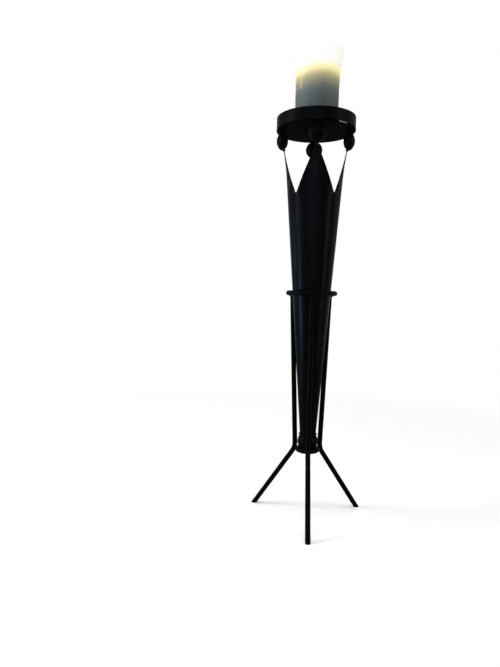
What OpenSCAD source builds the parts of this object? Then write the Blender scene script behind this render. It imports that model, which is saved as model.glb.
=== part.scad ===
// Torchere candle stand in black wrought iron, all sizes in millimetres.
// A bent-bar tripod carries a torch: a rolled sheet cone whose four petals end in flattened balls
// under a drip pan. The torch drops into the tripod: its finial ball sits in the small cup ring and
// the cone leans on nothing but the three leg tops under the collar ring. A pillar candle stands
// loose in the pan. The origin is on the floor, on the axis of the torch; the front leg points to -Y.

/* [Tripod] */
// Diameter of the leg bar
leg_bar_d = 9.5; // [8:0.5:11]
// Radius of the bend in each leg, to the middle of the bar
leg_bend_r = 30; // [20:1:40]
// Height of the middle of the bend above the cup ring
leg_bend_rise = 8.5; // [5:0.5:12]
// Diameter of the bar that both rings are bent from
ring_bar_d = 9.5; // [8:0.5:10.5]
// Height of the cup ring, to the middle of its bar
cup_ring_z = 131; // [110:0.5:160]
// Radius of the cup ring, to the middle of its bar
cup_ring_r = 18.5; // [17:0.25:20]
// Root gap between the cup ring and each leg, filled by the weld
cup_root_gap = 0.4; // [0.3:0.1:1]
// Height of the collar ring, to the middle of its bar
collar_ring_z = 427.5; // [380:0.5:470]
// How far the collar ring's bar lies outside the middle of the leg tops
collar_outset = 2.4; // [2:0.1:3]
// How far the leg tops reach above the middle of the collar ring's bar
leg_top_rise = 1; // [0:0.5:2]

/* [Torch cone] */
// Thickness of the rolled sheet
cone_wall = 1.6; // [1.2:0.1:2.5]
// Outer radius of the cone at its bottom edge
cone_bottom_r = 15.1; // [14:0.1:16.5]
// Outer radius of the cone at the foot of the notches
cone_crown_r = 49; // [43:0.2:55]
// Height of the cone from its bottom edge to the foot of the notches
cone_h = 442.5; // [400:0.5:500]
// Length of the petals, from the foot of the notches to their points
petal_h = 86.5; // [70:0.5:105]
// Width of the tongue that each petal pushes into its ball
tongue_w = 5; // [4:0.5:7]
// How far each tongue reaches into its ball
tongue_depth = 12; // [8:0.5:14]
// Height above the notches at which the petals start to flare
flare_start = 35; // [20:1:50]
// Radius of the outward flare of the petals
flare_r = 470; // [350:10:700]
// Radius of the round foot of each notch
notch_r = 3; // [2:0.5:4]
// Width of the cone's welded seam
seam_w = 1.6; // [1.2:0.2:3]

/* [Balls] */
// Diameter of the finial ball under the cone
finial_d = 38.5; // [36:0.5:41]
// Diameter of the flattened petal balls
ball_d = 32; // [28:0.5:36]
// Thickness of the petal balls, measured along the pan's radius
ball_t = 21; // [18:0.5:24]
// Radius of the rounded rim of the petal balls
ball_rim_r = 7; // [5:0.5:8]

/* [Drip pan] */
// Outer diameter of the pan's band
pan_d = 144; // [130:1:170]
// Height of the pan over all
pan_h = 24; // [18:0.5:34]
// Thickness of the band
pan_band_t = 2.5; // [2:0.5:4]
// Thickness of the floor plate
pan_floor_t = 2.5; // [2:0.5:4]
// How far the floor plate's edge stands out from the band
pan_lip = 0.3; // [0:0.1:1]
// Radius ground round the lower edge of the floor plate
pan_edge_r = 2; // [1:0.25:2.25]

/* [Candle] */
// Diameter of the pillar candle
candle_d = 76; // [60:1:90]
// Height of the wax, burnt down a little from new
candle_h = 143; // [90:1:152]
// Radius of the softened top edge of the wax
candle_edge_r = 9; // [4:0.5:12]
// Depth of the melted well
well_depth = 8; // [4:0.5:12]
// Width left between the well and the candle's side
well_rim = 9.5; // [9:0.5:14]
// Diameter of the wick
wick_d = 2.6; // [2:0.2:3.6]
// Height of the wick above the bottom of the well
wick_out = 11; // [9:0.5:14]
// Diameter of the metal tab that holds the wick at the bottom
wick_tab_d = 20; // [14:1:26]

/* [Fits and welds] */
// Gap all round where the torch rests in the tripod
seat_gap = 0.3; // [0.2:0.05:0.6]
// Gap between the balls and the pan floor, filled by the weld
ball_root_gap = 0.5; // [0.4:0.1:1]
// Size of the weld fillets
weld_size = 2; // [1.6:0.2:2.6]
// How far a weld bead stands proud of the metal it joins
weld_proud = 0.5; // [0.3:0.1:0.8]

/* [Hidden] */
$fn = 96;

iron = "#202224";
weld_grey = "#2b2b2d";
wax = "#d8d3bd";
char_black = "#26211c";
tin = "#9a9a98";

// Directions round the axis, as angles from +X
front = -90;
leg_angles = [front, front + 120, front - 120];
petal_angles = [front, front + 90, front + 180, front + 270];
seam_angle = front + 135;
ring_seam_angle = front + 180;

// Heights of the torch, worked up from the cup ring
finial_r = finial_d / 2;
ring_bar_r = ring_bar_d / 2;
leg_bar_r = leg_bar_d / 2;
finial_z = cup_ring_z + sqrt(pow(finial_r + ring_bar_r + seat_gap, 2) - pow(cup_ring_r, 2));
cone_z = finial_z + sqrt(pow(finial_r, 2) - pow(cone_bottom_r - cone_wall, 2));
notch_z = cone_z + cone_h;
petal_tip_z = notch_z + petal_h;
ball_z = petal_tip_z + ball_d / 2;
tongue_z = petal_tip_z + tongue_depth;
pan_z = ball_z + ball_d / 2 + ball_root_gap;
pan_floor_z = pan_z + pan_floor_t;
pan_inner_r = pan_d / 2 - pan_band_t;

// The cone's outer face: a straight taper, then an outward arc
taper = (cone_crown_r - cone_bottom_r) / cone_h;
taper_angle = atan(taper);
function cone_r(z) = cone_bottom_r + taper * (z - cone_z);
flare_z = notch_z + flare_start;
flare_sides = 720;
flare_centre = [cone_r(flare_z) + flare_r * cos(taper_angle), flare_z - flare_r * sin(taper_angle)];
function flare_x(z, r) = flare_centre[0] - sqrt(pow(r, 2) - pow(z - flare_centre[1], 2));
function sheet_r(z) = z < flare_z ? cone_r(z) : flare_x(z, flare_r);
ball_centre_r = flare_x(ball_z, flare_r + cone_wall / 2);

// The legs: straight from the collar, round the bend, straight to the floor
leg_top_z = collar_ring_z + leg_top_rise;
leg_top_r = cone_r(leg_top_z) + seat_gap + leg_bar_r;
collar_ring_r = leg_top_r + collar_outset;
bend_to_cup = leg_bend_r + leg_bar_r + cup_root_gap + ring_bar_r;
bend_centre = [cup_ring_r + sqrt(pow(bend_to_cup, 2) - pow(leg_bend_rise, 2)),
    cup_ring_z + leg_bend_rise];
to_top = [leg_top_r, leg_top_z] - bend_centre;
leg_lean = 180 - atan2(to_top[1], to_top[0]) - acos(leg_bend_r / norm(to_top));
// How far the bar is bent: the corner of a right-angled triangle with these short sides
leg_turn = atan2(613775, 789481);
leg_reach = norm(to_top);
foot_angle = 180 + leg_turn - leg_lean;
foot_start = bend_centre + leg_bend_r * [cos(foot_angle), sin(foot_angle)];
foot_r = foot_start[0] + foot_start[1] * tan(leg_turn - leg_lean);

module ring(radius, z, bar_r, turn = 360) {
    translate([0, 0, z])
        rotate_extrude(angle = turn)
            translate([radius, 0])
                circle(r = bar_r);
}

// The leg over +X, before it is turned to its place. In the bend's own frame the upper bar rises
// straight up, the bend runs down and out from it, and the lower bar goes on along its end.
module leg_bar() {
    bend_over = leg_turn + 20;
    module straight_bar() {
        translate([leg_bend_r, 0, 0])
            rotate([-90, 0, 0])
                cylinder(d = leg_bar_d, h = leg_reach);
    }
    translate([bend_centre[0], 0, bend_centre[1]])
        rotate([90, 0, 0])
            rotate(-leg_lean) {
                mirror([1, 0, 0]) straight_bar();
                rotate(180 + leg_turn) straight_bar();
                difference() {
                    rotate(180)
                        rotate_extrude(angle = bend_over)
                            translate([leg_bend_r, 0])
                                circle(d = leg_bar_d);
                    rotate(180 + leg_turn)
                        translate([0, 0, -leg_bar_d])
                            cube([2 * leg_bend_r, 2 * leg_bend_r, 2 * leg_bar_d]);
                }
            }
}

// The leg is cut level at the floor and at its top, and coped to fit under the collar ring
module leg(angle) {
    color(iron)
        difference() {
            rotate(angle)
                intersection() {
                    leg_bar();
                    translate([0, -leg_bar_d, 0])
                        cube([2 * foot_r, 2 * leg_bar_d, leg_top_z]);
                }
            ring(collar_ring_r, collar_ring_z, ring_bar_r);
        }
}

module leg_front() { leg(leg_angles[0]); }
module leg_right() { leg(leg_angles[1]); }
module leg_left() { leg(leg_angles[2]); }

// Each ring is bar bent round to a narrow gap, which its seam weld fills
seam_turn_collar = 2 * atan(seam_w / 2 / collar_ring_r);
seam_turn_cup = 2 * atan(seam_w / 2 / cup_ring_r);

module open_ring(radius, z, seam_turn) {
    color(iron)
        rotate(ring_seam_angle + seam_turn / 2)
            ring(radius, z, ring_bar_r, 360 - seam_turn);
}

module collar_ring() { open_ring(collar_ring_r, collar_ring_z, seam_turn_collar); }
module cup_ring() { open_ring(cup_ring_r, cup_ring_z, seam_turn_cup); }

module ring_seam_welds() {
    color(weld_grey) {
        rotate(ring_seam_angle - seam_turn_collar / 2)
            ring(collar_ring_r, collar_ring_z, ring_bar_r + weld_proud, seam_turn_collar);
        rotate(ring_seam_angle - seam_turn_cup / 2)
            ring(cup_ring_r, cup_ring_z, ring_bar_r, seam_turn_cup);
    }
}

// A fillet round each leg, under the collar ring's outer side
module collar_welds() {
    under_ring_z = collar_ring_z - ring_bar_r;
    color(weld_grey)
        for (angle = leg_angles)
            difference() {
                rotate(angle)
                    translate([leg_top_r + leg_bar_r, 0, under_ring_z])
                        sphere(r = 2 * weld_size);
                rotate(angle) leg_bar();
                ring(collar_ring_r, collar_ring_z, ring_bar_r);
            }
}

// A lump of weld between the cup ring and the inside of each bend, just under where they are nearest
module cup_welds() {
    nearest = ring_bar_r + cup_root_gap / 2;
    towards_bend = asin(leg_bend_rise / bend_to_cup);
    $fn = 240;
    color(weld_grey)
        for (angle = leg_angles)
            difference() {
                rotate(angle)
                    translate([cup_ring_r + nearest * cos(towards_bend), 0,
                            cup_ring_z + nearest * sin(towards_bend) - weld_size / 2])
                        sphere(r = 1.5 * weld_size, $fn = 72);
                rotate(angle) leg_bar();
                ring(cup_ring_r, cup_ring_z, ring_bar_r);
            }
}

// Profile of the rolled sheet: the straight taper and the flared arc above it
module sheet_profile(wall) {
    normal = [cos(taper_angle), -sin(taper_angle)];
    flare_foot = [cone_r(flare_z), flare_z];
    straight_foot = [cone_r(finial_z), finial_z];
    end_angle = asin((tongue_z - flare_centre[1]) / flare_r);
    reach = flare_r + 4 * wall;
    polygon([straight_foot, flare_foot, flare_foot - wall * normal, straight_foot - wall * normal]);
    intersection() {
        translate(flare_centre)
            difference() {
                circle(r = flare_r + wall, $fn = flare_sides);
                circle(r = flare_r, $fn = flare_sides);
            }
        translate(flare_centre)
            polygon([[0, 0], -reach * normal, reach * [-cos(end_angle), sin(end_angle)]]);
    }
}

// The sheet all round, seated on the finial ball
module rolled_sheet(wall) {
    rotate_extrude()
        difference() {
            sheet_profile(wall);
            translate([0, finial_z]) circle(r = finial_r);
        }
}

// Half the width of a petal, measured along the sheet: straight cuts before it was rolled
quarter_arc = PI / 4 * cone_crown_r;
function half_arc(z) = max(tongue_w / 2, quarter_arc * (petal_tip_z - z) / petal_h);
// The same half width seen from the front
function half_width(z) = sheet_r(z) * sin(half_arc(z) / sheet_r(z) * 180 / PI);
tongue_foot_z = petal_tip_z - tongue_w / 2 * petal_h / quarter_arc;

// Each notch ends in a round foot. The straight cuts run a little way into it.
notch_overlap = 0.05;
notch_slope = atan(quarter_arc / petal_h);
notch_foot_z = notch_z + (notch_r - notch_overlap) / sin(notch_slope);
cut_foot_z = notch_foot_z - (notch_r - notch_overlap) * sin(notch_slope);
outline_steps = 10;
outline_z = [for (i = [0 : outline_steps])
    cut_foot_z + (tongue_foot_z - cut_foot_z) * i / outline_steps];

// Everything to one side of the petal that faces -Y; side is 1 or -1
module beside_petal(side) {
    reach = pan_d;
    rotate([90, 0, 0])
        linear_extrude(height = reach)
            polygon(concat(
                [for (z = outline_z) [side * half_width(z), z]],
                [[side * tongue_w / 2, tongue_z + 1], [side * reach, tongue_z + 1],
                    [side * reach, cut_foot_z]]));
}

module notch_foot(angle) {
    translate([0, 0, notch_foot_z])
        rotate([0, 90, angle])
            cylinder(r = notch_r, h = pan_d);
}

// The notch between the front petal and the right one
module notch() {
    intersection() {
        beside_petal(1);
        rotate(90) beside_petal(-1);
    }
    notch_foot(front + 45);
}

// The seam runs up into the foot of a notch
module seam_slot() {
    rotate(seam_angle)
        translate([0, -seam_w / 2, finial_z])
            cube([pan_d, seam_w, notch_foot_z - finial_z]);
}

module torch_cone() {
    color(iron)
        difference() {
            rolled_sheet(cone_wall);
            for (i = [0 : 3]) rotate(90 * i) notch();
            seam_slot();
        }
}

// The seam is ground flush outside and stands proud inside
module cone_seam_weld() {
    color(weld_grey)
        difference() {
            intersection() {
                rolled_sheet(cone_wall + weld_proud);
                seam_slot();
            }
            notch_foot(seam_angle);
        }
}

module finial_ball() {
    color(iron)
        translate([0, 0, finial_z])
            sphere(d = finial_d);
}

// A fillet round the foot of the cone, on the finial ball
module finial_weld() {
    color(weld_grey)
        rotate_extrude()
            difference() {
                translate([cone_bottom_r, cone_z]) circle(r = weld_size);
                polygon([[0, finial_z], [cone_r(finial_z), finial_z],
                    [cone_r(cone_z + 2 * weld_size), cone_z + 2 * weld_size],
                    [0, cone_z + 2 * weld_size]]);
                translate([0, finial_z]) circle(r = finial_r);
            }
}

// A ball hammered flat: an oval of four arcs, turned about the pan's radius
module flattened_ball() {
    half_d = ball_d / 2;
    half_t = ball_t / 2;
    rim_x = half_d - ball_rim_r;
    face_r = (pow(rim_x, 2) + pow(half_t, 2) - pow(ball_rim_r, 2)) / (2 * (half_t - ball_rim_r));
    join_x = face_r * rim_x / (face_r - ball_rim_r);
    rotate([0, 90, 0])
        rotate_extrude()
            union() {
                translate([rim_x, 0]) circle(r = ball_rim_r);
                intersection() {
                    translate([0, half_t - face_r]) circle(r = face_r);
                    translate([0, face_r - half_t]) circle(r = face_r);
                    translate([0, -half_t]) square([join_x, ball_t]);
                }
            }
}

// The tongue over +X that a ball is slotted for
module tongue() {
    intersection() {
        rolled_sheet(cone_wall);
        translate([0, -tongue_w / 2, tongue_foot_z])
            cube([pan_d, tongue_w, ball_d]);
    }
}

module placed_ball() {
    translate([ball_centre_r, 0, ball_z]) flattened_ball();
}

module petal_ball(angle) {
    color(iron)
        rotate(angle)
            difference() {
                placed_ball();
                tongue();
            }
}

module ball_front() { petal_ball(petal_angles[0]); }
module ball_right() { petal_ball(petal_angles[1]); }
module ball_back() { petal_ball(petal_angles[2]); }
module ball_left() { petal_ball(petal_angles[3]); }

// A bead round each petal where it enters its ball
module petal_welds() {
    bead_r = tongue_w / 2 + weld_size / 2;
    color(weld_grey)
        for (angle = petal_angles)
            rotate(angle)
                difference() {
                    translate([flare_x(petal_tip_z, flare_r + cone_wall / 2), 0, petal_tip_z])
                        sphere(r = bead_r);
                    placed_ball();
                    intersection() {
                        rolled_sheet(cone_wall);
                        rotate([90, 0, 90])
                            linear_extrude(height = pan_d)
                                polygon(concat(
                                    [for (z = outline_z) [half_width(z), z]],
                                    [[tongue_w / 2, ball_z], [-tongue_w / 2, ball_z]],
                                    [for (i = [outline_steps : -1 : 0])
                                        [-half_width(outline_z[i]), outline_z[i]]]));
                    }
                }
}

// A fillet between the top of each ball and the pan floor
module pan_ball_welds() {
    top_r = ball_t / 3;
    color(weld_grey)
        for (angle = petal_angles)
            rotate(angle)
                difference() {
                    translate([ball_centre_r, 0, pan_z - 1.5 * weld_size])
                        cylinder(r1 = top_r - weld_size, r2 = top_r, h = 1.5 * weld_size);
                    placed_ball();
                }
}

module pan_floor() {
    floor_r = pan_d / 2 + pan_lip;
    color(iron)
        translate([0, 0, pan_z])
            rotate_extrude()
                intersection() {
                    square([floor_r, pan_floor_t]);
                    union() {
                        square([floor_r - pan_edge_r, pan_floor_t]);
                        translate([0, pan_edge_r]) square([floor_r, pan_floor_t]);
                        translate([floor_r - pan_edge_r, pan_edge_r]) circle(r = pan_edge_r);
                    }
                }
}

// A strip rolled into a hoop, open at its seam
module hoop(inner_r) {
    translate([0, 0, pan_floor_z])
        difference() {
            cylinder(d = pan_d, h = pan_h - pan_floor_t);
            translate([0, 0, -1]) cylinder(r = inner_r, h = pan_h + 2);
        }
}

module band_slot() {
    rotate(seam_angle)
        translate([0, -seam_w / 2, pan_floor_z])
            cube([pan_d, seam_w, pan_h]);
}

module pan_band() {
    color(iron)
        difference() {
            hoop(pan_inner_r);
            band_slot();
        }
}

module band_seam_weld() {
    color(weld_grey)
        intersection() {
            hoop(pan_inner_r - weld_proud);
            band_slot();
        }
}

// Short beads in the corner between the band and the floor plate, inside the pan
stitch_count = 6;
stitch_turn = 20;

module pan_stitch_welds() {
    color(weld_grey)
        for (i = [0 : stitch_count - 1])
            rotate(i * 360 / stitch_count - stitch_turn / 2)
                translate([0, 0, pan_floor_z])
                    rotate_extrude(angle = stitch_turn)
                        intersection() {
                            translate([pan_inner_r, 0]) circle(r = weld_size);
                            translate([pan_inner_r - weld_size, 0]) square(weld_size);
                        }
}

// The wick's tab: a thin plate with a crimped neck
tab_t = 0.5;
tab_neck_d = wick_d + 2;
tab_neck_h = 5;

module wick_tab() {
    color(tin)
        translate([0, 0, pan_floor_z])
            difference() {
                union() {
                    cylinder(d = wick_tab_d, h = tab_t);
                    cylinder(d = tab_neck_d, h = tab_neck_h);
                }
                translate([0, 0, tab_t]) cylinder(d = wick_d, h = tab_neck_h);
            }
}

// The pillar: a soft top edge, a dished well, the wick's channel and the tab's recess
module candle_wax() {
    candle_r = candle_d / 2;
    well_r = candle_r - well_rim;
    dish_r = (pow(well_r, 2) + pow(well_depth, 2)) / (2 * well_depth);
    color(wax)
        translate([0, 0, pan_floor_z])
            rotate_extrude()
                difference() {
                    union() {
                        square([candle_r, candle_h - candle_edge_r]);
                        square([candle_r - candle_edge_r, candle_h]);
                        translate([candle_r - candle_edge_r, candle_h - candle_edge_r])
                            circle(r = candle_edge_r);
                    }
                    translate([0, candle_h - well_depth + dish_r]) circle(r = dish_r);
                    square([wick_d / 2, candle_h]);
                    square([tab_neck_d / 2, tab_neck_h]);
                    square([wick_tab_d / 2, tab_t]);
                }
}

// Straight through the wax, then leaning over where it has burnt
wick_curl_r = 9;
wick_curl = 40;

module candle_wick() {
    straight = candle_h - well_depth + wick_out - wick_curl_r * sin(wick_curl) - tab_t;
    color(char_black)
        translate([0, 0, pan_floor_z + tab_t]) {
            cylinder(d = wick_d, h = straight);
            translate([-wick_curl_r, 0, straight])
                rotate([90, 0, 0])
                    rotate_extrude(angle = wick_curl)
                        translate([wick_curl_r, 0])
                            circle(d = wick_d);
        }
}

leg_front();
leg_right();
leg_left();
collar_ring();
cup_ring();
collar_welds();
cup_welds();
ring_seam_welds();
torch_cone();
cone_seam_weld();
finial_ball();
finial_weld();
ball_front();
ball_right();
ball_back();
ball_left();
petal_welds();
pan_ball_welds();
pan_floor();
pan_band();
pan_stitch_welds();
band_seam_weld();
candle_wax();
candle_wick();
wick_tab();
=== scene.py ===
import bpy
import numpy as np
from mathutils import Euler, Matrix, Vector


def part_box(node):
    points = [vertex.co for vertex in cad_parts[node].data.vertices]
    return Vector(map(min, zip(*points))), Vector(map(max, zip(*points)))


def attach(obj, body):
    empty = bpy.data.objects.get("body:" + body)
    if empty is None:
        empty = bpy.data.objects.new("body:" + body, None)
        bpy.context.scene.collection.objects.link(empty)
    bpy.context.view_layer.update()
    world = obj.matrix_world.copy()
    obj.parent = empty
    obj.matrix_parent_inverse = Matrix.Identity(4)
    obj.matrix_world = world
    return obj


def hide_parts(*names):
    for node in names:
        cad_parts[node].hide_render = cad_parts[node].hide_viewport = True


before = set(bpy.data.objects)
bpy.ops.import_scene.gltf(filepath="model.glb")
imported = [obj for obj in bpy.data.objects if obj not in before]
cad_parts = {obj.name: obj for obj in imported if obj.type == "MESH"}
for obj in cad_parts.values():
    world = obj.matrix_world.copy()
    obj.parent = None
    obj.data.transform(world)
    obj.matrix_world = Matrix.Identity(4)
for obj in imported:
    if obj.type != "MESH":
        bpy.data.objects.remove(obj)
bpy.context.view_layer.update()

# --- Camera ---------------------------------------------------------------------------
# It stands a metre in front of the stand, at the height of the upper ring, and is
# tipped a little down and a little to one side, as fitted to the stand's outline.
tall_side_mm, tall_side_px, focal_px = 36.0, 667, 547.787
camera_place = (-0.04317, -1.03389, 0.42163)
heading, tip_down, tilt = np.radians((3.9215, 4.0002, 1.109))

camera_data = bpy.data.cameras.new("camera")
camera_data.sensor_width = tall_side_mm
camera_data.lens = tall_side_mm * focal_px / tall_side_px
camera_data.clip_start, camera_data.clip_end = 0.05, 60.0
camera = bpy.data.objects.new("camera", camera_data)
camera.matrix_world = (
    Matrix.Translation(camera_place)
    @ Matrix.Rotation(heading, 4, "Z")
    @ Matrix.Rotation(np.pi / 2 - tip_down, 4, "X")
    @ Matrix.Rotation(tilt, 4, "Z")
)
bpy.context.scene.collection.objects.link(camera)
bpy.context.scene.camera = camera

# --- Floor, surroundings and lamps ----------------------------------------------------
# A plain pale floor that keeps a soft shadow near the feet and runs out into a
# white background. Soft window light from the left, warm room light from the right.
bpy.context.scene.view_settings.view_transform = "Standard"
floor_reach, floor_z, floor_corners = 14.0, -0.0003, 64
shadow_from, shadow_to = 0.45, 1.6
white, pale = (1, 1, 1, 1), (0.96, 0.96, 0.96, 1)
background_light, room_light = 1.0, 0.60

# Options of nodes, by what they do
times, times_plus = {"operation": "MULTIPLY"}, {"operation": "MULTIPLY_ADD"}
plus, plus_up_to_1 = {"operation": "ADD"}, {"operation": "ADD", "use_clamp": True}
length_of, eased = {"operation": "LENGTH"}, {"interpolation_type": "SMOOTHSTEP"}


def fill(node, **sockets):
    """Fills a node's inputs: Base_Color is the input called Base Color, and i3 is input number 3.
    A node or an output is linked, a node by its first output. Anything else is set as a value."""
    for name, value in sockets.items():
        numbered = name[0] == "i" and name[1:].isdigit()
        socket = node.inputs[int(name[1:]) if numbered else name.replace("_", " ")]
        if isinstance(value, bpy.types.Node):
            value = value.outputs[0]
        if isinstance(value, bpy.types.NodeSocket):
            node.id_data.links.new(value, socket)
        else:
            socket.default_value = value
    return node


def put(tree, kind, settings=None, **sockets):
    """Adds a node to a tree: settings are its own options, sockets its inputs, as fill takes them."""
    node = tree.nodes.new("ShaderNode" + kind)
    for option, value in (settings or {}).items():
        setattr(node, option, value)
    return fill(node, **sockets)


def emptied_tree(owner):
    """The node tree of a world or material, with the nodes that it starts with taken out."""
    owner.use_nodes = True
    owner.node_tree.nodes.clear()
    return owner.node_tree


def background_rays(tree):
    """1 for the rays that show the background: straight, in a gloss or through glass."""
    ray = put(tree, "LightPath").outputs
    direct = put(tree, "Math", plus_up_to_1, i0=ray["Is Camera Ray"], i1=ray["Is Glossy Ray"])
    return put(tree, "Math", plus_up_to_1, i0=direct, i1=ray["Is Transmission Ray"])


def full_turn(count):
    """Evenly spaced angles round a whole turn, the last one short of the first."""
    return np.linspace(0, 2 * np.pi, count + 1)[:-1]


def points_at(x, y, z):
    """Points from their three coordinates, each of them an array or one number for all."""
    return np.stack(np.broadcast_arrays(x, y, z), -1)


world = bpy.data.worlds.new("white room")
bpy.context.scene.world = world
tree = emptied_tree(world)
level = put(
    tree, "Mix", {"data_type": "FLOAT"}, i0=background_rays(tree), i2=room_light, i3=background_light
)
room = put(tree, "Background", Color=white, Strength=level)
put(tree, "OutputWorld", Surface=room)

floor_turn = full_turn(floor_corners)
floor_ring = points_at(floor_reach * np.cos(floor_turn), floor_reach * np.sin(floor_turn), floor_z)
floor_mesh = bpy.data.meshes.new("floor")
floor_mesh.from_pydata(floor_ring.tolist(), [], [list(range(floor_corners))])
floor = bpy.data.objects.new("floor", floor_mesh)
bpy.context.scene.collection.objects.link(floor)
floor_paint = bpy.data.materials.new("pale floor")
tree = emptied_tree(floor_paint)
place = put(tree, "TexCoord").outputs["Object"]
distance = put(tree, "VectorMath", length_of, i0=place).outputs["Value"]
far = put(tree, "MapRange", eased, Value=distance, From_Min=shadow_from, From_Max=shadow_to)
shown_white = put(tree, "Math", times, i0=far, i1=background_rays(tree))
plain = put(tree, "BsdfDiffuse", Color=pale)
shine = put(tree, "Emission", Color=white, Strength=background_light)
put(tree, "OutputMaterial", Surface=put(tree, "MixShader", i0=shown_white, i1=plain, i2=shine))
floor_mesh.materials.append(floor_paint)

# Lamps called sheen show only in gloss: they are the bright window and room that the iron
# mirrors. Each lamp has a place, a point it is aimed at, a width and height, a power and a colour.
middle = (0, 0, 0.45)
for lamp_name, place, aim, size, power, colour in (
    ("window", (-1.75, -0.25, 0.85), middle, (0.55, 1.7), 30.0, (0.87, 0.88, 0.93)),
    ("window sheen", (-1.68, -0.48, 0.85), middle, (0.25, 1.8), 46.0, (0.42, 0.66, 1.0)),
    ("low window sheen", (-1.70, -0.50, 0.11), (0, 0, 0.37), (0.12, 0.20), 42.0, (0.20, 0.58, 1.0)),
    ("front sheen", (-0.2, -2.4, 1.0), (0, 0, 0.6), (2.0, 1.1), 70.0, (0.45, 0.70, 1.0)),
    ("room", (1.75, -0.15, 0.80), middle, (0.45, 1.5), 2.0, (1.0, 0.87, 0.72)),
    ("room sheen", (1.62, -0.68, 0.85), middle, (0.30, 1.7), 40.0, (1.0, 0.88, 0.70)),
    ("left back sheen", (-1.66, 0.54, 0.47), middle, (0.08, 0.30), 6.0, (0.42, 0.72, 1.0)),
    ("right back sheen", (1.62, 0.62, 0.85), middle, (0.20, 1.7), 5.0, (1.0, 0.95, 0.85)),
    ("ceiling", (0.0, -0.5, 2.9), (0, 0, 0.4), (2.2, 2.2), 34.0, (1.0, 0.99, 0.97)),
):
    lamp_data = bpy.data.lights.new(lamp_name, "AREA")
    lamp_data.shape = "RECTANGLE"
    lamp_data.size, lamp_data.size_y = size
    lamp_data.energy = power
    lamp_data.color = colour
    lamp = bpy.data.objects.new(lamp_name, lamp_data)
    along_x, along_y, along_z = np.array(aim) - np.array(place)
    tipped = np.arctan2(np.hypot(along_x, along_y), -along_z)
    lamp.location = place
    lamp.rotation_euler = Euler((tipped, 0, np.arctan2(-along_x, along_y)))
    lamp.visible_camera = False
    lamp.visible_diffuse = "sheen" not in lamp_name
    bpy.context.scene.collection.objects.link(lamp)

# --- Bent bar legs, collar ring and cup ring ------------------------------------------
# Round black iron bar, bent cold and painted semi-gloss black. The feet are cut
# level and their paint has rubbed thin where they stand.
# Unpainted metal where the paint has rubbed through, and also on the painted glint of the pan's edge.
bare_metal_wear_and_glint = (0.30, 0.29, 0.27, 1)
rubbed_feet = {"Full_At": -0.0010, "None_At": 0.0008, "Patch_Scale": 500.0, "Cover": 0.55}


def new_group(name, inputs, outputs):
    """A shader node group with named float, colour or vector sockets: its tree, the outputs that
    its input node gives, and its output node."""
    group = bpy.data.node_groups.new(name, "ShaderNodeTree")
    for socket, kind, start in inputs:
        made = group.interface.new_socket(socket, in_out="INPUT", socket_type="NodeSocket" + kind)
        made.default_value = start
    for socket, kind in outputs:
        group.interface.new_socket(socket, in_out="OUTPUT", socket_type="NodeSocket" + kind)
    return group, group.nodes.new("NodeGroupInput").outputs, group.nodes.new("NodeGroupOutput")


def colour_mix(tree, share, first, second, blend="MIX"):
    """The colour a share of the way from the first to the second, or another blend of the two."""
    settings = {"data_type": "RGBA", "blend_type": blend}
    return put(tree, "Mix", settings, i0=share, i6=first, i7=second).outputs[2]


# Painted iron: cloudy tone, brushed-on paint skin and shallow forging dents.
paint_skin, given, skin_out = new_group(
    "paint skin",
    [
        ("Stretch", "Vector", (1, 1, 1)),
        ("Paint", "Color", (0.0010, 0.0012, 0.0013, 1)),
        ("Cloud", "Color", (0.0018, 0.0018, 0.0016, 1)),
        ("Gloss", "Float", 0.33),
        ("Gloss Spread", "Float", 0.1),
        ("Dent", "Float", 0.4),
    ],
    [("Color", "Color"), ("Roughness", "Float"), ("Height", "Float")],
)
tree = paint_skin
place = put(tree, "TexCoord").outputs["Object"]
stretched = put(tree, "VectorMath", times, i0=place, i1=given["Stretch"])
cloud = put(tree, "TexNoise", Vector=stretched, Scale=38.0, Detail=4.0, Roughness=0.55)
peel = put(tree, "TexNoise", Vector=place, Scale=620.0, Detail=2.0, Roughness=0.5)
dents = put(
    tree, "TexVoronoi", {"feature": "SMOOTH_F1"}, Vector=stretched, Scale=95.0, Smoothness=0.9
)
cloudy = put(tree, "MapRange", Value=cloud, From_Min=0.3, From_Max=0.7)
dent_height = put(tree, "Math", times, i0=dents.outputs["Distance"], i1=given["Dent"])
fill(
    skin_out,
    Color=colour_mix(tree, cloudy, given["Paint"], given["Cloud"]),
    Roughness=put(tree, "Math", times_plus, i0=cloudy, i1=given["Gloss Spread"], i2=given["Gloss"]),
    Height=put(tree, "Math", times_plus, i0=peel, i1=0.05, i2=dent_height),
)

# Rubbed paint: broken patches between two heights, where bare metal shows.
rubbed, given, rub_out = new_group(
    "rubbed paint",
    [
        ("Full At", "Float", 0.0),
        ("None At", "Float", 0.01),
        ("Patch Scale", "Float", 400.0),
        ("Cover", "Float", 0.5),
    ],
    [("Mask", "Float")],
)
tree = rubbed
place = put(tree, "TexCoord").outputs["Object"]
height = put(tree, "SeparateXYZ", Vector=place).outputs["Z"]
reach = put(tree, "MapRange", eased, Value=height, To_Min=1.0, To_Max=0.0)
fill(reach, From_Min=given["Full At"], From_Max=given["None At"])
patches = put(tree, "TexNoise", Vector=place, Scale=given["Patch Scale"], Detail=5.0, Roughness=0.65)
patchy_reach = put(tree, "Math", times_plus, i0=reach, i1=0.5, i2=patches)
patch_edge = put(tree, "Math", plus, i0=given["Cover"], i1=0.07)
broken = put(tree, "MapRange", eased, Value=patchy_reach, From_Min=given["Cover"], From_Max=patch_edge)
fill(rub_out, Mask=put(tree, "Math", times, i0=broken, i1=reach))


def new_finish(name, **sockets):
    """A material with a Principled shader: the material, its tree and the shader."""
    material = bpy.data.materials.new(name)
    material.use_nodes = True
    shader = material.node_tree.nodes["Principled BSDF"]
    return material, material.node_tree, fill(shader, **sockets)


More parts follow.
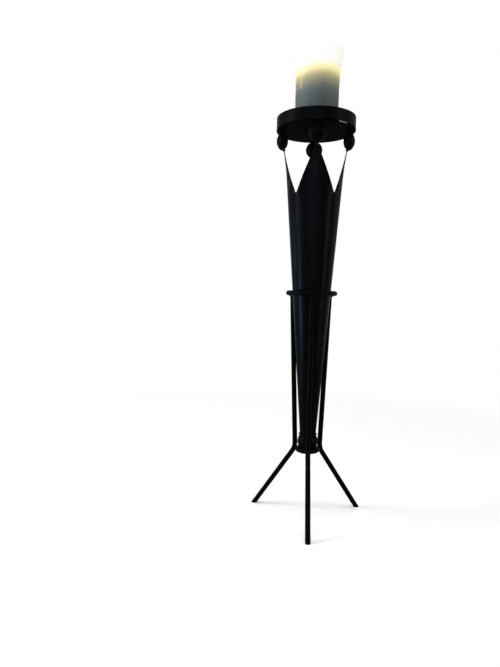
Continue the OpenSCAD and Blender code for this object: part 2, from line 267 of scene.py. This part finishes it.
def painted_iron(name, stretch, dent, gloss, bump_mm, rub=None, mark=None, specular=0.008, **tone):
    """Semi-gloss black paint on iron. rub gives the values of the rubbed group, mark is a function
    that puts another mask of unpainted metal in the tree, which on the floor plate is a painted
    glint, and tone gives other values of the skin."""
    material, tree, shader = new_finish(name, Specular_IOR_Level=specular)
    skin = put(tree, "Group", {"node_tree": paint_skin}, Stretch=stretch, Dent=dent, Gloss=gloss, **tone)
    colour = skin.outputs["Color"]
    # The mask of unpainted metal: worn paint from rub, and a painted glint from mark.
    wear_and_glint_mask = mark(tree) if mark else None
    if rub:
        wear_and_glint_mask = put(tree, "Group", {"node_tree": rubbed}, **rub)
    if wear_and_glint_mask:
        colour = colour_mix(tree, wear_and_glint_mask, colour, bare_metal_wear_and_glint)
        fill(shader, Metallic=wear_and_glint_mask)
    bump = put(tree, "Bump", Strength=1.0, Distance=bump_mm / 1000, Height=skin.outputs["Height"])
    fill(shader, Base_Color=colour, Roughness=skin.outputs["Roughness"], Normal=bump)
    return material


def finish_with(material, slot_name, *names):
    """Gives CAD nodes their finish."""
    for name in names:
        part = cad_parts[name]
        part.data.materials.clear()
        part.data.materials.append(material)


leg_iron = painted_iron(
    "black bar of the legs",
    stretch=(1.0, 1.0, 0.35),
    dent=0.5,
    gloss=0.36,
    bump_mm=0.25,
    rub=rubbed_feet,
    specular=0.005,
)
ring_iron = painted_iron(
    "black bar of the rings", stretch=(1.0, 1.0, 1.0), dent=0.5, gloss=0.32, bump_mm=0.25
)
finish_with(leg_iron, "iron", "leg_front", "leg_right", "leg_left")
finish_with(ring_iron, "iron", "collar_ring", "cup_ring")

# --- Rolled sheet cone with its four petals -------------------------------------------
# One piece of 1.6 mm sheet, cut, rolled and flared by hand, so faint flats from
# the rolling run up it and break its long highlight.
sheet_iron = painted_iron(
    "black rolled sheet", stretch=(1.0, 1.0, 0.08), dent=1.0, gloss=0.27, bump_mm=0.35
)
finish_with(sheet_iron, "iron", "torch_cone")

# --- Finial and the four flattened balls ----------------------------------------------
# Solid iron balls. The four under the pan were hammered flat and slotted for the
# tips of the petals.
ball_iron = painted_iron(
    "black hammered ball", stretch=(1.0, 1.0, 1.0), dent=1.0, gloss=0.32, bump_mm=0.5, specular=0.006
)
finish_with(ball_iron, "iron", "finial_ball", "ball_front", "ball_right", "ball_back", "ball_left")

# --- Drip pan: floor plate and band ---------------------------------------------------
# A round plate with a rolled strip stood on it. At one place on the right of the front, its
# lower edge has a painted highlight: a patch of bright unpainted metal that stands for a glint.
pan_under_z, pan_floor_z = (corner.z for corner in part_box("pan_floor"))
band_r, band_top_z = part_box("pan_band")[1].x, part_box("pan_band")[1].z
rubbed_rim = {
    "Full_At": band_top_z + 0.00062,
    "None_At": band_top_z - 0.00058,
    "Patch_Scale": 300.0,
    "Cover": 0.84,
}
# Where the painted glint lies: directions round the axis, its fade, and its edges by radius and height.
glint_from, glint_to = np.radians((-60.5, -43.0))
glint_fade = 0.05
glint_inner_r, edge_fade = band_r - 0.0008, 0.0002
glint_top_z, top_fade = pan_floor_z - 0.00028, 0.0004


def painted_glint_patch(tree):
    """1 at most on the painted glint, a patch of unpainted metal: a fine noise times four ramps, which
    rise from one direction round the axis, fall towards another, rise below a height and rise outside
    a radius."""
    place = put(tree, "TexCoord").outputs["Object"]
    axes = put(tree, "SeparateXYZ", Vector=place).outputs
    direction = put(tree, "Math", {"operation": "ARCTAN2"}, i0=axes["Y"], i1=axes["X"])
    level_place = put(tree, "VectorMath", times, i0=place, i1=(1, 1, 0))
    from_axis = put(tree, "VectorMath", length_of, i0=level_place).outputs["Value"]
    frayed = put(tree, "TexNoise", Vector=place, Scale=900.0, Detail=3.0)
    mask = put(tree, "MapRange", Value=frayed, From_Min=0.35, From_Max=0.55, To_Max=0.5)
    for value, start, end, settings in (
        (direction, glint_from, glint_from + glint_fade, eased),
        (direction, glint_to, glint_to - glint_fade, eased),
        (axes["Z"], glint_top_z, glint_top_z - top_fade, None),
        (from_axis, glint_inner_r, glint_inner_r + edge_fade, None),
    ):
        ramp = put(tree, "MapRange", settings, Value=value, From_Min=start, From_Max=end)
        mask = put(tree, "Math", times, i0=mask, i1=ramp)
    return mask


pan_iron = painted_iron(
    "black drip pan", stretch=(1.0, 1.0, 0.6), dent=0.8, gloss=0.34, bump_mm=0.3, rub=rubbed_rim
)
plate_iron = painted_iron(
    "black floor plate",
    stretch=(1.0, 1.0, 1.0),
    dent=0.8,
    gloss=0.5,
    bump_mm=0.3,
    mark=painted_glint_patch,
    specular=0.001,
)
finish_with(pan_iron, "iron", "pan_band")
finish_with(plate_iron, "iron", "pan_floor")

# --- Weld beads -----------------------------------------------------------------------
# Rippled beads of weld, painted over with the rest. Each replaces the plain fillet
# at the same joint.
bar_r = 0.00475
leg_directions = (-90.0, 30.0, 150.0)
petal_directions = (-90.0, 0.0, 90.0, 180.0)
seam_direction = 45.0
ripple_swing, ripple_low, open_end = 0.13, 0.08, 0.0025


def skin_of(rows, closed_rows=False):
    """A skin over a grid of points (rows, points round, 3), each row a closed loop: its points, and
    its faces in sets. The first set has four corners, two on a row and two on the next. The other
    closes both ends by a fan to the middle of the row, unless the rows close on themselves."""
    count, around = rows.shape[:2]
    points = rows.reshape(-1, 3)
    index = np.arange(count * around).reshape(count, around)
    if closed_rows:
        index = np.vstack([index, index[:1]])
    beside = np.roll(index, -1, axis=1)
    walls = np.stack([index[:-1], beside[:-1], beside[1:], index[1:]], -1).reshape(-1, 4)
    if closed_rows:
        return points, [walls]
    first, last = np.full(around, len(points)), np.full(around, len(points) + 1)
    first_fan = np.stack([beside[0], index[0], first], -1)
    last_fan = np.stack([index[-1], beside[-1], last], -1)
    return np.vstack([points, rows[0].mean(0), rows[-1].mean(0)]), [walls, first_fan, last_fan]


def new_piece(name, *skins):
    """One smooth piece of one or more skins, with their points one after another."""
    faces, first_point = [], 0
    for points, face_sets in skins:
        for face_set in face_sets:
            faces += (face_set + first_point).tolist()
        first_point += len(points)
    mesh = bpy.data.meshes.new(name)
    mesh.from_pydata(np.vstack([points for points, _ in skins]).tolist(), [], faces)
    mesh.polygons.foreach_set("use_smooth", np.ones(len(mesh.polygons), bool))
    piece = bpy.data.objects.new(name, mesh)
    bpy.context.scene.collection.objects.link(piece)
    return piece


def travelled(path):
    """The distance along a path to each of its points: the sum of the steps before it."""
    return np.concatenate([[0], np.cumsum(np.linalg.norm(np.diff(path, axis=0), axis=1))])


def carried(path, radius, around, closed=False):
    """A round section carried along a path, with its radius given along the path and round it.
    Each point is the path's, plus the radius times the cosine of its angle across the path and the
    sine of it square to both. Across is the axis that the path runs along least, squared up to the
    path, so that the section doesn't twist."""
    ahead = np.roll(path, -1, 0) - np.roll(path, 1, 0)
    if not closed:
        ahead[0], ahead[-1] = path[1] - path[0], path[-1] - path[-2]
    tangent = ahead / np.linalg.norm(ahead, axis=1)[:, None]
    axis = np.eye(3)[np.argmin(np.abs(tangent).max(0))]
    across = axis - tangent * (tangent @ axis)[:, None]
    across /= np.linalg.norm(across, axis=1)[:, None]
    square = np.cross(tangent, across)
    angle = full_turn(around)[None, :, None]
    ring = np.cos(angle) * across[:, None] + np.sin(angle) * square[:, None]
    return path[:, None] + radius[..., None] * ring


def bead(path, radius, pitch, closed=False, around=16):
    """A weld bead: a round section carried along a path. Its radius follows the size of a sine, so
    it swells in ripples one pitch apart, and at an open end it closes as the end of a ball does."""
    along = travelled(path)
    length = along[-1] + (np.linalg.norm(path[0] - path[-1]) if closed else 0)
    pitch = length / max(1, round(length / pitch))
    ripple = 1 + ripple_swing * np.abs(np.sin(np.pi * along / pitch)) - ripple_low
    if not closed:
        from_end = np.clip(np.minimum(along, length - along) / radius, 0, 1)
        ripple *= np.sqrt(np.clip(1 - (1 - from_end) ** 2, open_end, 1))
    return skin_of(carried(path, radius * ripple[:, None], around, closed), closed)


def turned(path, degrees):
    """A path turned about the stand's axis by the sine and cosine of the angle."""
    c, s = np.cos(np.radians(degrees)), np.sin(np.radians(degrees))
    x, y, z = path.T
    return points_at(c * x - s * y, s * x + c * y, z)


weld_paint = painted_iron(
    "black painted weld",
    stretch=(1.6, 1.6, 1.6),
    dent=0.6,
    gloss=0.38,
    bump_mm=0.3,
    Paint=(0.0014, 0.0014, 0.0013, 1),
)


def weld(node, body, paths, radius, pitch, closed=False):
    """The rippled beads that stand for one weld node, one bead on each path."""
    piece = new_piece(node + "_ripples", *(bead(path, radius, pitch, closed) for path in paths))
    piece.data.materials.append(weld_paint)
    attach(piece, body)
    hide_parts(node)


def middle_of(node):
    """The middle of a CAD node's box."""
    low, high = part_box(node)
    return (low + high) / 2


# Under the collar ring: part of a circle round the top of each leg, where it meets the ring
collar_r, collar_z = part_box("collar_ring")[1].x - bar_r, middle_of("collar_ring").z
leg_top_r, bow_r, bow_reach = collar_r - 0.0024, bar_r + 0.0004, 74
bow, bow_z = np.radians(np.linspace(-bow_reach, bow_reach, 40)), collar_z - bar_r + 0.0001
collar_bow = points_at(leg_top_r + bow_r * np.cos(bow), bow_r * np.sin(bow), bow_z)
collar_bows = [turned(collar_bow, d) for d in leg_directions]
weld("collar_welds", "tripod", collar_bows, radius=0.0017, pitch=0.0016)

# Between the cup ring and each bend: a short level line, which rises with its square to the ends
cup_r, cup_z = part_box("cup_ring")[1].x - bar_r, middle_of("cup_ring").z
lump_r, lump_z, lump_reach, lump_rise = cup_r + bar_r + 0.00035, cup_z - 0.0012, 0.0034, 30
across = np.linspace(-lump_reach, lump_reach, 30)
cup_lump = points_at(lump_r, across, lump_z + lump_rise * across**2)
cup_lumps = [turned(cup_lump, d) for d in leg_directions]
weld("cup_welds", "tripod", cup_lumps, radius=0.0019, pitch=0.0018)

# Round the bar of both rings, at their seams at the back
loop, ring_loop_r = full_turn(40), bar_r - 0.00015
ring_seams = [
    points_at(0.0, r + ring_loop_r * np.cos(loop), z + ring_loop_r * np.sin(loop))
    for r, z in ((collar_r, collar_z), (cup_r, cup_z))
]
weld("ring_seam_welds", "tripod", ring_seams, radius=0.0008, pitch=0.0015, closed=True)

# Round the foot of the cone, which sits on the finial ball with its inner edge
cone_wall, cone_foot_r, cone_crown_r, cone_h = 0.0016, 0.0151, 0.0490, 0.4425
finial_low, finial_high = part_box("finial_ball")
finial_r, finial_z = (finial_high.z - finial_low.z) / 2, middle_of("finial_ball").z
cone_foot_z = finial_z + np.sqrt(finial_r**2 - (cone_foot_r - cone_wall) ** 2)
foot_turn = full_turn(240)
foot_loop_r, foot_loop_z = cone_foot_r + 0.00015, cone_foot_z - 0.00008
foot_loop = points_at(foot_loop_r * np.cos(foot_turn), foot_loop_r * np.sin(foot_turn), foot_loop_z)
weld("finial_weld", "torch", [foot_loop], radius=0.0019, pitch=0.0022, closed=True)

# Up the back of the cone, along its slope, to just above the foot of the notch
taper = (cone_crown_r - cone_foot_r) / cone_h
seam_low_z, seam_high_z, seam_depth = cone_foot_z + 0.004, cone_foot_z + cone_h + 0.00392, 0.0010
seam_z = np.linspace(seam_low_z, seam_high_z, 700)
seam_r = cone_foot_r + taper * (seam_z - cone_foot_z) - seam_depth
cone_seam = turned(points_at(seam_r, 0.0, seam_z), seam_direction)
weld("cone_seam_weld", "torch", [cone_seam], radius=0.0013, pitch=0.0026)

# Round the tongue at each petal's tip, on the outward arc that starts flare_start over the notch
flare_start, flare_r = 0.035, 0.470
flare_centre_r = cone_foot_r + taper * (cone_h + flare_start) + flare_r * np.cos(np.arctan(taper))
flare_centre_z = cone_foot_z + cone_h + flare_start - flare_r * np.sin(np.arctan(taper))
petal_tip_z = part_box("ball_front")[0].z
sheet_middle_r = flare_r + cone_wall / 2
tip_r = flare_centre_r - np.sqrt(sheet_middle_r**2 - (petal_tip_z - flare_centre_z) ** 2)
tongue_out, tongue_aside, tongue_z = 0.0013, 0.0030, petal_tip_z - 0.00028
tongue_loop = points_at(tip_r + tongue_out * np.sin(loop), tongue_aside * np.cos(loop), tongue_z)
tongues = [turned(tongue_loop, d) for d in petal_directions]
weld("petal_welds", "torch", tongues, radius=0.0013, pitch=0.0015, closed=True)

# Round the top of each flattened ball, under the pan
ball_r, ball_loop_r, ball_loop_z = middle_of("ball_right").x, 0.0058, pan_under_z - 0.0006
ball_loop = points_at(ball_r + ball_loop_r * np.cos(loop), ball_loop_r * np.sin(loop), ball_loop_z)
ball_tops = [turned(ball_loop, d) for d in petal_directions]
weld("pan_ball_welds", "torch", ball_tops, radius=0.0015, pitch=0.0018, closed=True)

# Six stitches along the corner inside the pan
band_inner_r, stitch_reach, stitch_step = band_r - 0.0025, 10, 60
stitch_turn = np.radians(np.linspace(-stitch_reach, stitch_reach, 70))
stitch_r, stitch_z = band_inner_r - 0.0003, pan_floor_z + 0.0003
stitch = points_at(stitch_r * np.cos(stitch_turn), stitch_r * np.sin(stitch_turn), stitch_z)
stitches = [turned(stitch, d) for d in range(0, 360, stitch_step)]
weld("pan_stitch_welds", "torch", stitches, radius=0.0018, pitch=0.0019)

# Up the seam of the band
band_seam_r, band_seam_top_z = band_inner_r + 0.0012, band_top_z - 0.00028
band_seam_z = np.linspace(pan_floor_z, band_seam_top_z, 60)
band_seam = turned(points_at(band_seam_r, 0.0, band_seam_z), seam_direction)
weld("band_seam_weld", "torch", [band_seam], radius=0.0016, pitch=0.0018)

# --- Pillar candle --------------------------------------------------------------------
# A plain 76 mm pillar of pale wax, burnt down to a dished top. Its top third has a painted
# glow, emission that stands for the flame's light inside it, and lower down its colour is
# painted dark grey-blue shade. Wax has run over the rim at three places.
candle_r, candle_top_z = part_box("candle_wax")[1].x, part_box("candle_wax")[1].z
# The wax stops just short of the plate and of the tab's underside, so it shares no face with them.
wax_foot_z = pan_floor_z + 0.00002
foot_round, shoulder_round, shoulder_turn = 0.0012, 0.0042, 0.54 * np.pi
pool_z, well_floor_z, well_floor_r = wax_foot_z + 0.1360, wax_foot_z + 0.1348, 0.0250

# How far the wax has swelled outwards: at the foot, leaning, flaring, bulging, settling in rings
# and in waves. The right side has the slump, so what is named right is added there.
foot_out, right_foot_out, right_lean_out = 0.0011, 0.0006, 0.0020
flare_out, left_flare_share, bulge_out, settled_out = 0.0026, 0.62, 0.0009, 0.00012
side_wave, rim_wave, rim_dip, rim_dip_width = 0.0004, 0.0009, 0.0009, 0.0075
settled_wave, slump_direction = 210, -2.0

# Heights above the wax's foot: where each sets in, and over what height it comes to its full
foot_set, settled_set, lean_set = (0.0, 0.008), (0.0155, 0.03), (0.0605, 0.075)
wave_set, flare_set, rim_set = (0.0755, 0.05), (0.1095, 0.018), (0.1175, 0.022)
bulge_height, bulge_width = 0.1275, 0.011

# Runs of wax: direction, height of the run's end above the wax's foot, half width and thickness
runs = (
    (-137.0, 0.0670, 0.0027, 0.0015),
    (62.0, 0.0475, 0.0022, 0.0016),
    (118.0, 0.0815, 0.0024, 0.0013),
)
run_start, drop_up, drop_half_height, drop_width_share = 0.0009, 0.002, 0.0034, 1.15
outside_r, outside_fade = 0.0315, 0.003
turns, side_rows, foot_rows, shoulder_rows, well_rows = 320, 130, 6, 21, 15
around = full_turn(turns)


def angle_from(direction):
    """The angle round the candle from a direction, from minus half a turn to half a turn."""
    return (around - np.radians(direction) + np.pi) % (2 * np.pi) - np.pi


def wavy(seed, lowest, highest):
    """A smooth closed wave from -1 to 1: the sum of cosines of a few whole numbers of waves round
    the axis, each with its own phase and the weaker the more waves it has."""
    draw = np.random.default_rng(seed)
    waves = [np.cos(n * around + draw.uniform(0, 2 * np.pi)) / n for n in range(lowest, highest + 1)]
    total = np.sum(waves, 0)
    return total / np.abs(total).max()


def hump(distance, width):
    """A smooth hump, 1 in its middle: e to the power of minus the square of distance over width."""
    return np.exp(-((distance / width) ** 2))


# The outline from foot to well: a quarter round, the straight side, a little more than a quarter
# round over the shoulder, and the well's wall, whose depth is a power of a sine.
foot_angle = np.linspace(-np.pi / 2, 0, foot_rows + 1)[:-1]
shoulder_angle = np.linspace(0, shoulder_turn, shoulder_rows + 1)[1:]
well_share = np.linspace(0, 1, well_rows + 1)[1:]
shoulder_r = candle_r - shoulder_round + shoulder_round * np.cos(shoulder_angle)
shoulder_z = candle_top_z - shoulder_round + shoulder_round * np.sin(shoulder_angle)
lip_r, lip_z = shoulder_r[-1], shoulder_z[-1]
outline_r = np.concatenate([
    candle_r - foot_round + foot_round * np.cos(foot_angle),
    np.full(side_rows, candle_r),
    shoulder_r,
    lip_r - (lip_r - well_floor_r) * well_share**0.8,
])[:, None]
outline_z = np.concatenate([
    wax_foot_z + foot_round + foot_round * np.sin(foot_angle),
    np.linspace(wax_foot_z + foot_round, candle_top_z - shoulder_round, side_rows),
    shoulder_z,
    lip_z - (lip_z - well_floor_z) * np.sin(np.pi / 2 * well_share) ** 1.6,
])[:, None]


def risen(start, reach):
    """0 up to a height above the wax's foot, then in a straight line to 1 over a further reach."""
    return np.clip((outline_z - wax_foot_z - start) / reach, 0, 1)


# The slumped form: each point is the outline's radius plus the swellings, and its height has the
# rim's waves in it. slump goes from 1 on the right to 0 on the left.
slump = 0.5 + 0.5 * np.cos(angle_from(slump_direction))
flare, rim_share = risen(*flare_set), risen(*rim_set) ** 2
outer = outline_r + bulge_out * hump(outline_z - wax_foot_z - bulge_height, bulge_width)
outer = outer + settled_out * np.sin(outline_z * settled_wave + 1.0) * risen(*settled_set)
outer = outer + (foot_out + right_foot_out * slump) * risen(*foot_set)
outer = outer + right_lean_out * slump**1.5 * risen(*lean_set) ** 1.3
outer = outer + flare_out * flare**2 * (3 - 2 * flare) * (slump**2 + left_flare_share * (1 - slump) ** 2)
outer = outer + side_wave * wavy(3, 2, 6) * risen(*wave_set)
rim = outline_z + rim_wave * wavy(8, 2, 5) * rim_share

# Each run is a hump across its own width that starts softly at its lower end, with a round drop
# there. Above it the rim dips a little.
run_cover = np.zeros_like(outer)
outside = np.clip((outline_r - outside_r) / outside_fade, 0, 1)
for direction, end_height, half_width, thickness in runs:
    off = angle_from(direction) * candle_r
    up_run = outline_z - wax_foot_z - end_height
    body = hump(off, half_width) / (1 + np.exp(-up_run / run_start))
    drop_aside, drop_along = off / (drop_width_share * half_width), (up_run - drop_up) / drop_half_height
    drop = hump(np.hypot(drop_aside, drop_along), 1)
    outer = outer + thickness * (0.75 * body + 0.6 * drop) * outside
    rim = rim - rim_dip * hump(off, rim_dip_width) * rim_share
    run_cover = np.maximum(run_cover, np.maximum(body, drop) * outside)
candle = new_piece(
    "candle_pillar", skin_of(points_at(outer * np.cos(around), outer * np.sin(around), rim))
)

# How high up the painted glow each point counts, and how much of it is run wax: read by the material.
# The painted glow comes further down on the left and less far down on the right.
painted_glow_left, painted_glow_right, painted_glow_wave = 0.0032, 0.0025, 0.0022
painted_glow_levels = rim + painted_glow_left * hump(angle_from(-150), 0.6) - painted_glow_right * slump**2 + painted_glow_wave * wavy(5, 1, 4)
for attribute, values in (("painted_glow_height", painted_glow_levels), ("run_wax", run_cover)):
    layer = candle.data.attributes.new(attribute, "FLOAT", "POINT")
    ends = (values[0].mean(keepdims=True), values[-1].mean(keepdims=True))
    layer.data.foreach_set("value", np.concatenate([values.ravel(), *ends]).astype(np.float32))


def colour_ramp(tree, along, *stops):
    """Colours along a value, from stops in rising order: place, red, green and blue."""
    node = put(tree, "ValToRGB", i0=along)
    for at, *_ in stops[1:-1]:
        node.color_ramp.elements.new(at)
    for element, (at, *rgb) in zip(node.color_ramp.elements, stops):
        element.position, element.color = at, (*rgb, 1)
    return node


# Wax: its base colour is painted shade, dark grey-blue low down and lighter upwards, and a painted glow,
# emission for the flame's light inside it, runs through yellow to almost white near the top. A clear
# coat with a faint warm tint warms its outline, as the wax does where the light goes far through it.
run_tone, run_painted_glow_colour = (0.30, 0.28, 0.22, 1), (0.08, 0.065, 0.035, 1)
painted_glow_reach, run_painted_glow_from_z, run_painted_glow_to_z = 0.1430, wax_foot_z + 0.0505, wax_foot_z + 0.0905
wax_material, tree, shader = new_finish(
    "pillar wax with painted glow and shade",
    Roughness=0.48,
    Specular_IOR_Level=0.025,
    Emission_Strength=1.0,
    Coat_Weight=1.0,
    Coat_Roughness=1.0,
    Coat_IOR=1.01,
    Coat_Tint=(0.965, 0.955, 0.90, 1),
)
place = put(tree, "TexCoord").outputs["Object"]
painted_glow_height = put(tree, "Attribute", {"attribute_name": "painted_glow_height"}).outputs["Fac"]
run_wax = put(tree, "Attribute", {"attribute_name": "run_wax"}).outputs["Fac"]
# share runs from 0 at the wax's foot to 1 near the top: the painted light and shade by height.
share = put(tree, "MapRange", Value=painted_glow_height, From_Min=wax_foot_z, From_Max=wax_foot_z + painted_glow_reach)
mottle = put(tree, "TexNoise", Vector=place, Scale=70.0, Detail=3.0, Roughness=0.6)
mottled = put(tree, "Math", times_plus, i0=mottle, i1=0.03, i2=share)
painted_light_share = put(tree, "Math", {"operation": "SUBTRACT"}, i0=mottled, i1=0.019)
painted_shade_wax_colour = colour_ramp(
    tree, painted_light_share, (0.0, 0.085, 0.110, 0.120), (0.42, 0.090, 0.112, 0.118),
    (0.62, 0.17, 0.17, 0.14), (0.80, 0.24, 0.235, 0.20), (1.0, 0.24, 0.235, 0.21),
)
painted_glow_colour = colour_ramp(
    tree, painted_light_share, (0.30, 0.0, 0.0, 0.0), (0.404, 0.014, 0.018, 0.018),
    (0.475, 0.060, 0.058, 0.040), (0.545, 0.18, 0.172, 0.085), (0.594, 0.34, 0.300, 0.130),
    (0.630, 0.57, 0.495, 0.225), (0.666, 0.80, 0.715, 0.34), (0.705, 0.86, 0.83, 0.53),
    (0.745, 0.85, 0.85, 0.84), (0.80, 0.82, 0.83, 0.90), (1.0, 0.81, 0.82, 0.90),
)
run_share = put(tree, "Math", times, i0=run_wax, i1=0.75)
# The runs get their own painted glow: emission that rises between two heights on them.
run_painted_glow_rise = put(tree, "MapRange", Value=painted_glow_height, From_Min=run_painted_glow_from_z, From_Max=run_painted_glow_to_z)
run_painted_glow_mask = put(tree, "Math", times, i0=run_painted_glow_rise, i1=run_wax)
pores = put(tree, "TexNoise", Vector=place, Scale=420.0, Detail=3.0)
fill(
    shader,
    Base_Color=colour_mix(tree, run_share, painted_shade_wax_colour, run_tone),
    Emission_Color=colour_mix(tree, run_painted_glow_mask, painted_glow_colour, run_painted_glow_colour, "ADD"),
    Normal=put(tree, "Bump", Strength=0.6, Distance=0.0002, Height=pores),
)
candle.data.materials.append(wax_material)
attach(candle, "candle")
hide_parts("candle_wax")

# --- Melted pool ----------------------------------------------------------------------
# Clear molten wax round the wick, with a raised edge where it wets the wall of the well.
# It lies in the candle as a thin closed lens, with a painted glow: emission for the flame's
# light on it, brightest by the wick.
pool_edge_r, pool_depth, pool_below_rim = 0.0268, 0.0030, 0.0006
edge_climb, wick_dip, wick_dip_share, under_rise = 0.0011, 0.0003, 0.12, 0.6

# Out along the top and back underneath, each by its share of the radius. The top climbs at the
# edge with a high power of the share and dips at the wick, and the underside is a shallow cone.
top_share, under_share = np.linspace(0.02, 1, 26), np.linspace(0.98, 0.02, 12)
top_z = pool_z - pool_below_rim + edge_climb * top_share**14 - wick_dip * hump(top_share, wick_dip_share)
under_z = pool_z - pool_depth * (1 - under_rise * under_share)
pool_r = pool_edge_r * np.concatenate([top_share, under_share])[::-1, None]
pool_height = np.concatenate([top_z, under_z])[::-1, None]
pool = new_piece(
    "molten_pool", skin_of(points_at(pool_r * np.cos(around), pool_r * np.sin(around), pool_height))
)
pool_material, tree, shader = new_finish("molten wax", Roughness=0.06, Emission_Strength=1.0)
place = put(tree, "TexCoord").outputs["Object"]
level_place = put(tree, "VectorMath", times, i0=place, i1=(1, 1, 0))
from_wick = put(tree, "VectorMath", length_of, i0=level_place).outputs["Value"]
near_wick = put(tree, "MapRange", Value=from_wick, From_Min=0.0, From_Max=pool_edge_r)
fill(
    shader,
    Base_Color=colour_ramp(tree, near_wick, (0.0, 0.30, 0.22, 0.11), (1.0, 0.42, 0.36, 0.24)),
    Emission_Color=colour_ramp(
        tree, near_wick, (0.0, 0.75, 0.52, 0.20), (0.35, 0.66, 0.53, 0.27), (1.0, 0.52, 0.46, 0.31)
    ),
)
pool.data.materials.append(pool_material)
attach(pool, "candle")

# --- Wick, its ember and its tab ------------------------------------------------------
# Three cotton strands twisted together and charred black, leaning over at the tip,
# which glows. The tin tab lies under the wax.
wick_r, wick_foot_z, wick_tip_z = 0.0013, wax_foot_z + 0.0016, wax_foot_z + 0.1468
curl_r, curl_turn = 0.009, np.radians(40)
strands, twist_pitch, strand_depth = 3, 0.006, 0.16
tip_taper, tip_share = 0.0012, 0.35
unburnt_z, charred_z, ember_z = wax_foot_z + 0.1355, wax_foot_z + 0.1430, wick_tip_z - 0.0014

# The path goes straight up and then round an arc of a circle. The section's radius has a cosine
# lobe for each strand, turned a whole turn for each twist_pitch of the path.
straight_top_z = wick_tip_z - curl_r * np.sin(curl_turn) - wick_r
lean = np.linspace(0, curl_turn, 30)[1:]
upright = points_at(0.0, 0.0, np.linspace(wick_foot_z, straight_top_z, 160))
curl = points_at(-curl_r + curl_r * np.cos(lean), 0.0, straight_top_z + curl_r * np.sin(lean))
wick_path = np.vstack([upright, curl])
along_wick = travelled(wick_path)[:, None]
strand_angle = full_turn(30)[None, :] - 2 * np.pi * along_wick / twist_pitch
lobes = wick_r * (1 - strand_depth + strand_depth * np.cos(strands * strand_angle))
lobes *= np.clip((along_wick[-1] - along_wick) / tip_taper, tip_share, 1) ** 0.5
wick = new_piece("charred_wick", skin_of(carried(wick_path, lobes, 30)))
wick_material, tree, shader = new_finish("charred cotton", Roughness=0.9, Emission_Strength=1.0)
place = put(tree, "TexCoord").outputs["Object"]
height = put(tree, "SeparateXYZ", Vector=place).outputs["Z"]
burnt = put(tree, "MapRange", Value=height, From_Min=unburnt_z, From_Max=charred_z)
ember = put(tree, "MapRange", Value=height, From_Min=ember_z, From_Max=wick_tip_z)
fibre = put(tree, "TexNoise", Vector=place, Scale=1800.0, Detail=3.0)
fill(
    shader,
    Base_Color=colour_ramp(
        tree, burnt, (0.0, 0.30, 0.22, 0.13), (0.5, 0.03, 0.022, 0.016), (1.0, 0.012, 0.010, 0.009)
    ),
    Emission_Color=colour_ramp(tree, ember, (0.0, 0.0, 0.0, 0.0), (1.0, 1.0, 0.32, 0.06)),
    Normal=put(tree, "Bump", Strength=1.0, Distance=0.0002, Height=fibre),
)
wick.data.materials.append(wick_material)
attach(wick, "candle")
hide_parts("candle_wick")

tin, tree, shader = new_finish("thin tin", Metallic=1.0)
place = put(tree, "TexCoord").outputs["Object"]
streaks = put(tree, "TexNoise", Vector=place, Scale=300.0, Detail=3.0)
fill(
    shader,
    Base_Color=colour_ramp(tree, streaks, (0.3, 0.50, 0.50, 0.49), (0.7, 0.62, 0.62, 0.60)),
    Roughness=put(tree, "MapRange", Value=streaks, To_Min=0.3, To_Max=0.5),
)
finish_with(tin, "tab", "wick_tab")

# --- Flame ----------------------------------------------------------------------------
# A still candle flame round the tip of the wick: clear blue at its foot, then
# orange, then almost white, drawn up to a point.
flame_foot_z, flame_tip_z, flame_r = wax_foot_z + 0.1410, wax_foot_z + 0.1680, 0.0068
flame_aside, flame_lean, flame_fullness, tip_narrowing = -0.0008, -0.0016, 0.75, 0.22

# Round sections up its height. The radius is a power of a sine of the rise, a little narrower
# toward the tip, and the middle leans over by another sine.
rise = np.linspace(0.002, 0.998, 46)[:, None]
flame_around = full_turn(40)
flame_wide = flame_r * np.sin(np.pi * rise**flame_fullness) ** flame_fullness
flame_wide = flame_wide * (1 - tip_narrowing * rise)
flame_middle = flame_aside + flame_lean * np.sin(np.pi * rise) * (1 - rise)
flame = new_piece("candle_flame", skin_of(points_at(
    flame_middle + flame_wide * np.cos(flame_around),
    flame_wide * np.sin(flame_around),
    flame_foot_z + (flame_tip_z - flame_foot_z) * rise,
)))
flame_material, tree, shader = new_finish(
    "candle flame",
    Base_Color=(0, 0, 0, 1),
    Roughness=1.0,
    Specular_IOR_Level=0.0,
    Emission_Strength=1.3,
)
place = put(tree, "TexCoord").outputs["Object"]
height = put(tree, "SeparateXYZ", Vector=place).outputs["Z"]
up_flame = put(tree, "MapRange", Value=height, From_Min=flame_foot_z, From_Max=flame_tip_z)
fill(
    shader,
    Emission_Color=colour_ramp(
        tree, up_flame, (0.0, 0.10, 0.16, 0.50), (0.16, 0.75, 0.42, 0.20), (0.34, 1.0, 0.72, 0.28),
        (0.6, 1.0, 0.93, 0.68), (1.0, 1.0, 0.90, 0.62),
    ),
    Alpha=put(tree, "MapRange", Value=up_flame, From_Max=0.32, To_Min=0.12, To_Max=1.0),
)
flame.data.materials.append(flame_material)
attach(flame, "candle")
